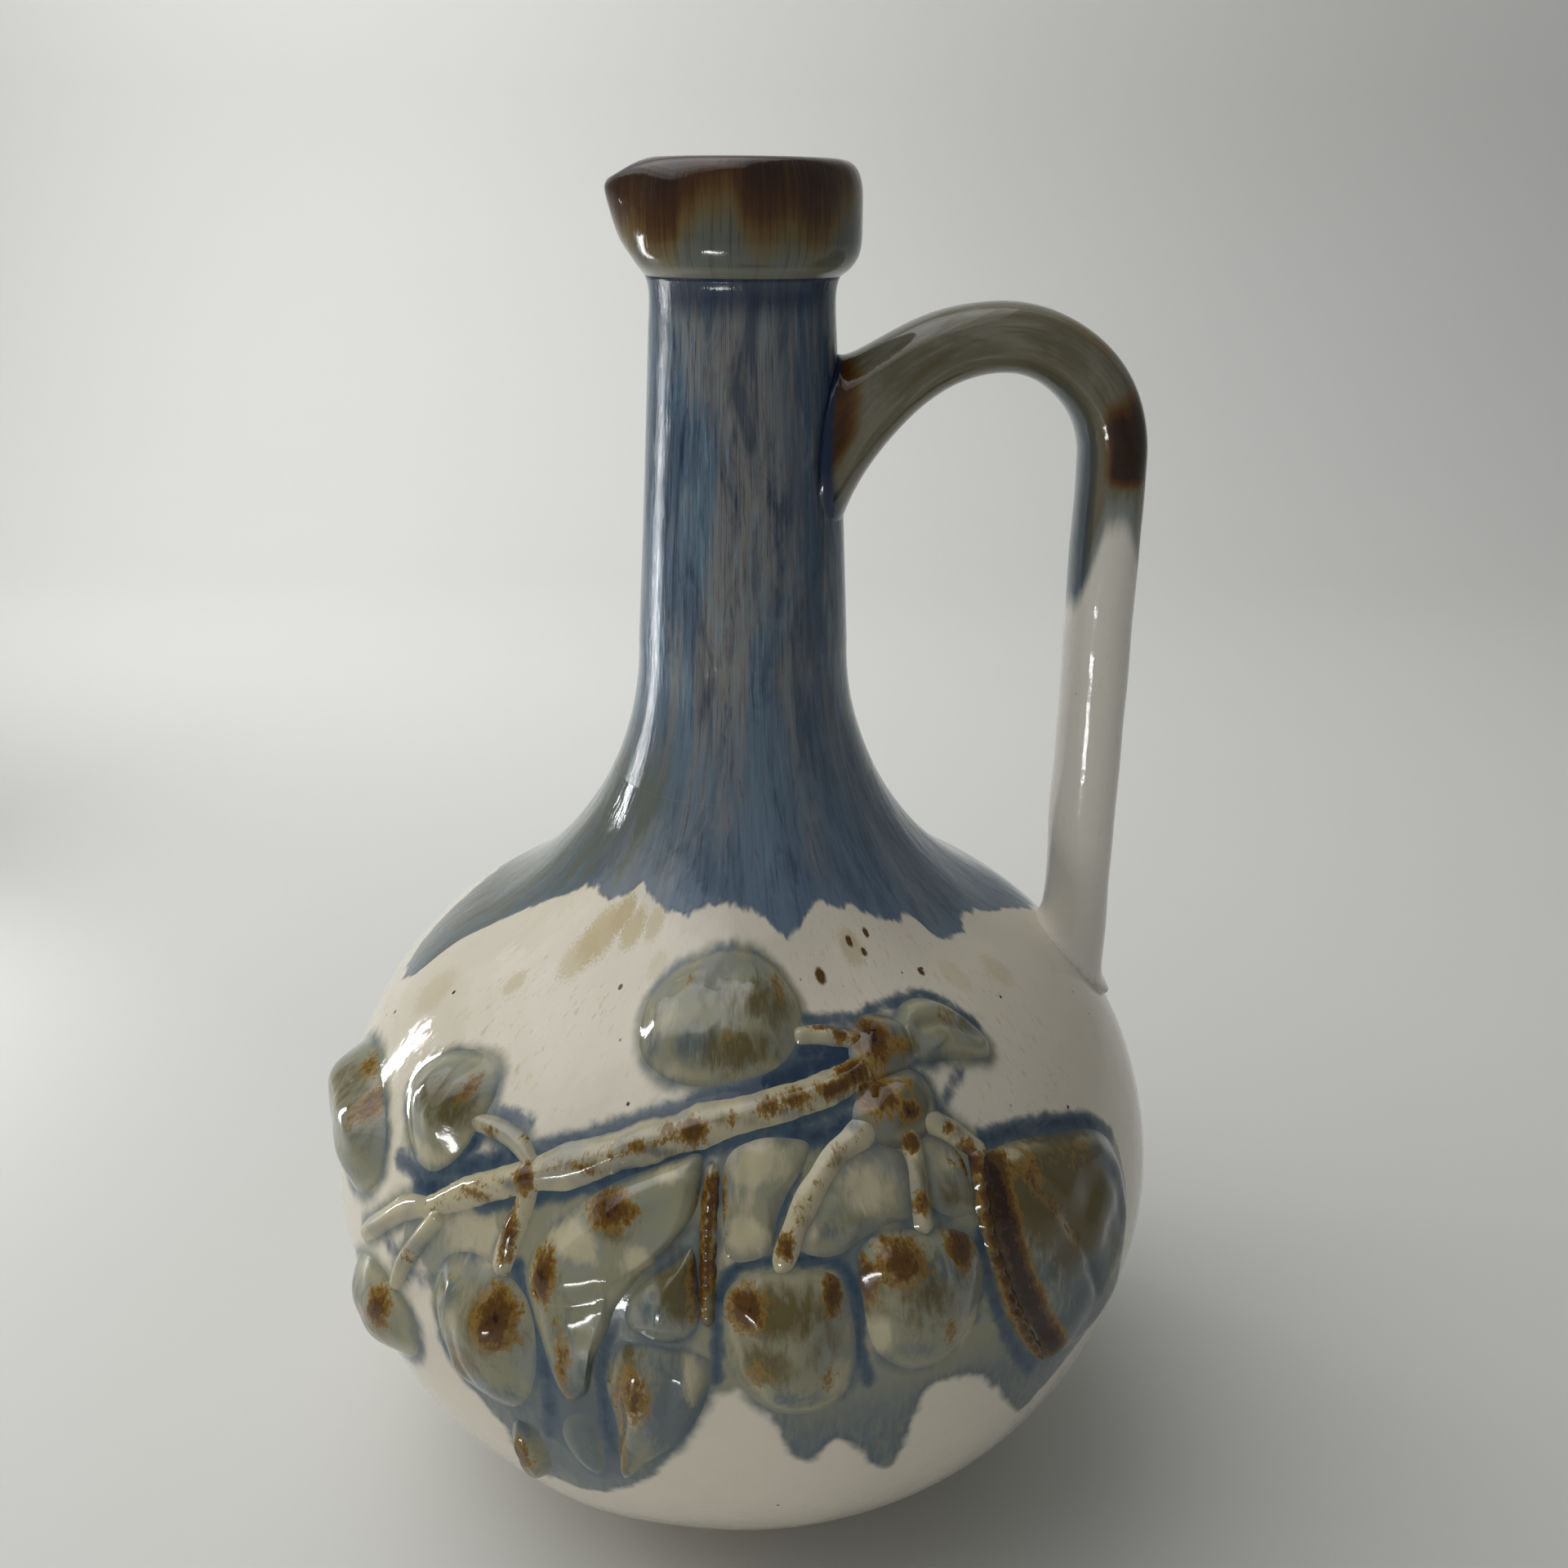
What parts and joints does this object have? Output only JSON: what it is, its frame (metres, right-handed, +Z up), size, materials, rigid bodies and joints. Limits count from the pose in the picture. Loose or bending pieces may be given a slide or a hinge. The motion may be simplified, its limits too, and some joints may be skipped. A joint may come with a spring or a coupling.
{
  "type": "carafe",
  "caption": "Earthenware carafe with a round belly, a long flared neck, a beaked collar, a looped handle and a fruiting bough in relief on one side.",
  "frame": {"origin": "on the table, under the middle of the flat foot", "axes": "+Z up along the neck, +X towards the handle, -X towards the beak, -Y towards the bough"},
  "size_m": [0.169, 0.1722, 0.26],
  "materials": {
    "cream_glaze": "glossy clear glaze over cream clay, stained and pinholed",
    "blue_glaze": "glossy streaked blue glaze",
    "brown_glaze": "glossy dark red-brown glaze",
    "handle_glaze": "glossy glaze, olive above and cream below",
    "fruit_glaze": "glossy grey-green glaze breaking to rust",
    "leaf_glaze": "glossy grey-olive glaze breaking to rust",
    "twig_glaze": "glossy cream glaze banded with rust",
    "rib_glaze": "glossy rust-brown glaze"
  },
  "bodies": {
    "root": {"belly": "cream_glaze", "neck": "blue_glaze", "collar": "brown_glaze", "handle": "handle_glaze", "branch": "twig_glaze", "knot_upper": "twig_glaze", "knot_lower": "twig_glaze", "fruit_top": "fruit_glaze", "fruit_upper_left": "fruit_glaze", "fruit_far_left": "fruit_glaze", "fruit_left_low": "fruit_glaze", "fruit_lower_left": "fruit_glaze", "fruit_lower_centre": "fruit_glaze", "fruit_lower_right": "fruit_glaze", "leaf_right": "leaf_glaze", "leaf_centre": "leaf_glaze", "leaf_folded": "leaf_glaze", "leaf_lower": "leaf_glaze", "leaf_lower_left": "leaf_glaze", "leaf_tip_left": "leaf_glaze", "leaf_cream": "leaf_glaze", "leaf_under_fork": "leaf_glaze", "leaf_inner_right": "leaf_glaze", "leaf_at_knot": "leaf_glaze", "stem_top_fruit": "twig_glaze", "stem_centre_fruit": "twig_glaze", "stem_right_fruit": "twig_glaze", "stem_right_leaf": "twig_glaze", "stem_lower_left_fruit": "twig_glaze", "stem_left_fruit": "twig_glaze", "stem_upper_left_fruit": "twig_glaze", "stem_far_left": "twig_glaze", "rib_right": "rib_glaze", "rib_centre": "rib_glaze"}
  },
  "joints": []
}
